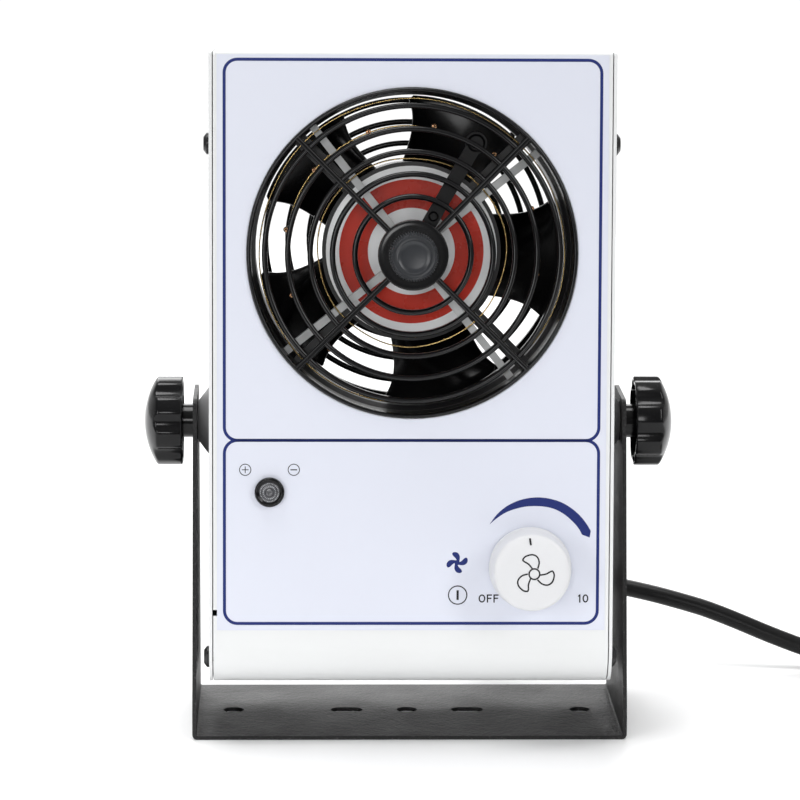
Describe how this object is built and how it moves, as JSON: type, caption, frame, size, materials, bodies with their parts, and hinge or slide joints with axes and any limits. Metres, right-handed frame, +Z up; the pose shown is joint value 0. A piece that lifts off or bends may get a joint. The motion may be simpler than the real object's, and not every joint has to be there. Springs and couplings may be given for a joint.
{
  "type": "ionizing air blower",
  "caption": "Bench-top ionizing air blower: white sheet-metal housing with a guarded axial fan, emitter needles, cleaning knob and speed dial, tilting in a black U bracket",
  "frame": {"origin": "centre of the bracket's underside, at the middle mounting hole, on the bench", "axes": "+Z up, the blower's front faces -Y, +X to the right as seen from the front; the tilt axis runs along X"},
  "size_m": [0.3625, 0.1631, 0.2605],
  "materials": {
    "black_powder": "fine textured powder coat, satin",
    "white_powder": "smooth white powder coat, semi-matt",
    "label_film": "bluish white polyester film with dark blue line art",
    "black_gloss": "glossy black moulding",
    "black_plastic": "satin black moulding",
    "white_plastic": "fine-grained white moulding",
    "grey_plastic": "light grey moulding",
    "lens": "clouded grey lens, unlit",
    "foil": "silver-grey foil disc",
    "steel": "zinc plated or turned steel",
    "black_steel": "black oxide",
    "brass_wire": "bright wire",
    "windings": "copper windings on a laminated stack",
    "pcb": "green solder mask",
    "cord_rubber": "satin black sheath",
    "lead": "insulated lead",
    "bristle": "nylon bristles"
  },
  "bodies": {
    "bracket": {"bracket": "black_powder", "power_cord": "cord_rubber", "cord_coil": "cord_rubber", "cord_tail": "cord_rubber", "plug_body": "cord_rubber", "plug_pins": "brass_wire"},
    "fan": {"rotor_cup": "steel", "fan_impeller": "black_gloss", "fan_shaft": "steel"},
    "brush": {"brush_knob": "black_plastic", "brush_shaft": "steel", "brush_arm": "black_plastic", "brush_rivet": "steel", "brush_tuft": "bristle"},
    "speed_dial": {"speed_knob": "white_plastic", "pot_shaft": "steel"},
    "left_clamp": {"left_clamp_knob": "black_gloss", "left_clamp_stud": "steel"},
    "right_clamp": {"right_clamp_knob": "black_gloss", "right_clamp_stud": "steel"},
    "housing": {"pivot_spacers": "black_gloss", "front_shell": "white_powder", "rear_shell": "white_powder", "front_label": "label_film", "front_guard": "black_gloss", "rear_guard": "black_gloss", "duct_ring": "black_plastic", "fan_frame": "black_plastic", "motor_label": "foil", "motor_stator": "windings", "motor_bearings": "steel", "emitter_frame": "grey_plastic", "emitter_wires": "brass_wire", "emitter_needles": "brass_wire", "lamp_bezel": "black_plastic", "lamp_lens": "lens", "lamp_body": "black_plastic", "lamp_nut": "steel", "speed_pot": "pcb", "pot_nut": "steel", "control_board": "pcb", "board_spacers": "steel", "board_parts": "black_plastic", "hv_module": "black_plastic", "hv_screws": "steel", "hv_lead": "lead", "fan_lead": "lead", "mains_lead": "lead", "side_screws": "black_steel", "guard_screws": "black_steel", "guard_nuts": "steel", "weld_studs": "steel", "stud_nuts": "steel", "pivot_nuts": "steel", "cord_relief": "black_plastic", "gland_nut": "black_plastic"}
  },
  "joints": [
    {"name": "housing_tilt", "type": "hinge", "parent": "bracket", "child": "housing", "pos_m": [0, 0, 0.116], "axis": [1, 0, 0], "range_deg": [-86, 94], "deforming": ["power_cord"]},
    {"name": "fan_spin", "type": "hinge", "parent": "housing", "child": "fan", "pos_m": [0, -0.07014, 0.18807], "axis": [0, -0.9976, 0.0698], "continuous": true},
    {"name": "brush_turn", "type": "hinge", "parent": "housing", "child": "brush", "pos_m": [0, -0.03722, 0.18577], "axis": [0, -0.9976, 0.0698], "continuous": true},
    {"name": "speed_knob_turn", "type": "hinge", "parent": "housing", "child": "speed_dial", "pos_m": [0.0447, -0.04547, 0.06785], "axis": [0, -0.9976, 0.0698], "range_deg": [-135, 135]},
    {"name": "left_clamp_turn", "type": "hinge", "parent": "housing", "child": "left_clamp", "pos_m": [-0.09, 0, 0.116], "axis": [-1, 0, 0], "range_deg": [0, 180]},
    {"name": "right_clamp_turn", "type": "hinge", "parent": "housing", "child": "right_clamp", "pos_m": [0.09, 0, 0.116], "axis": [1, 0, 0], "range_deg": [0, 180]}
  ]
}
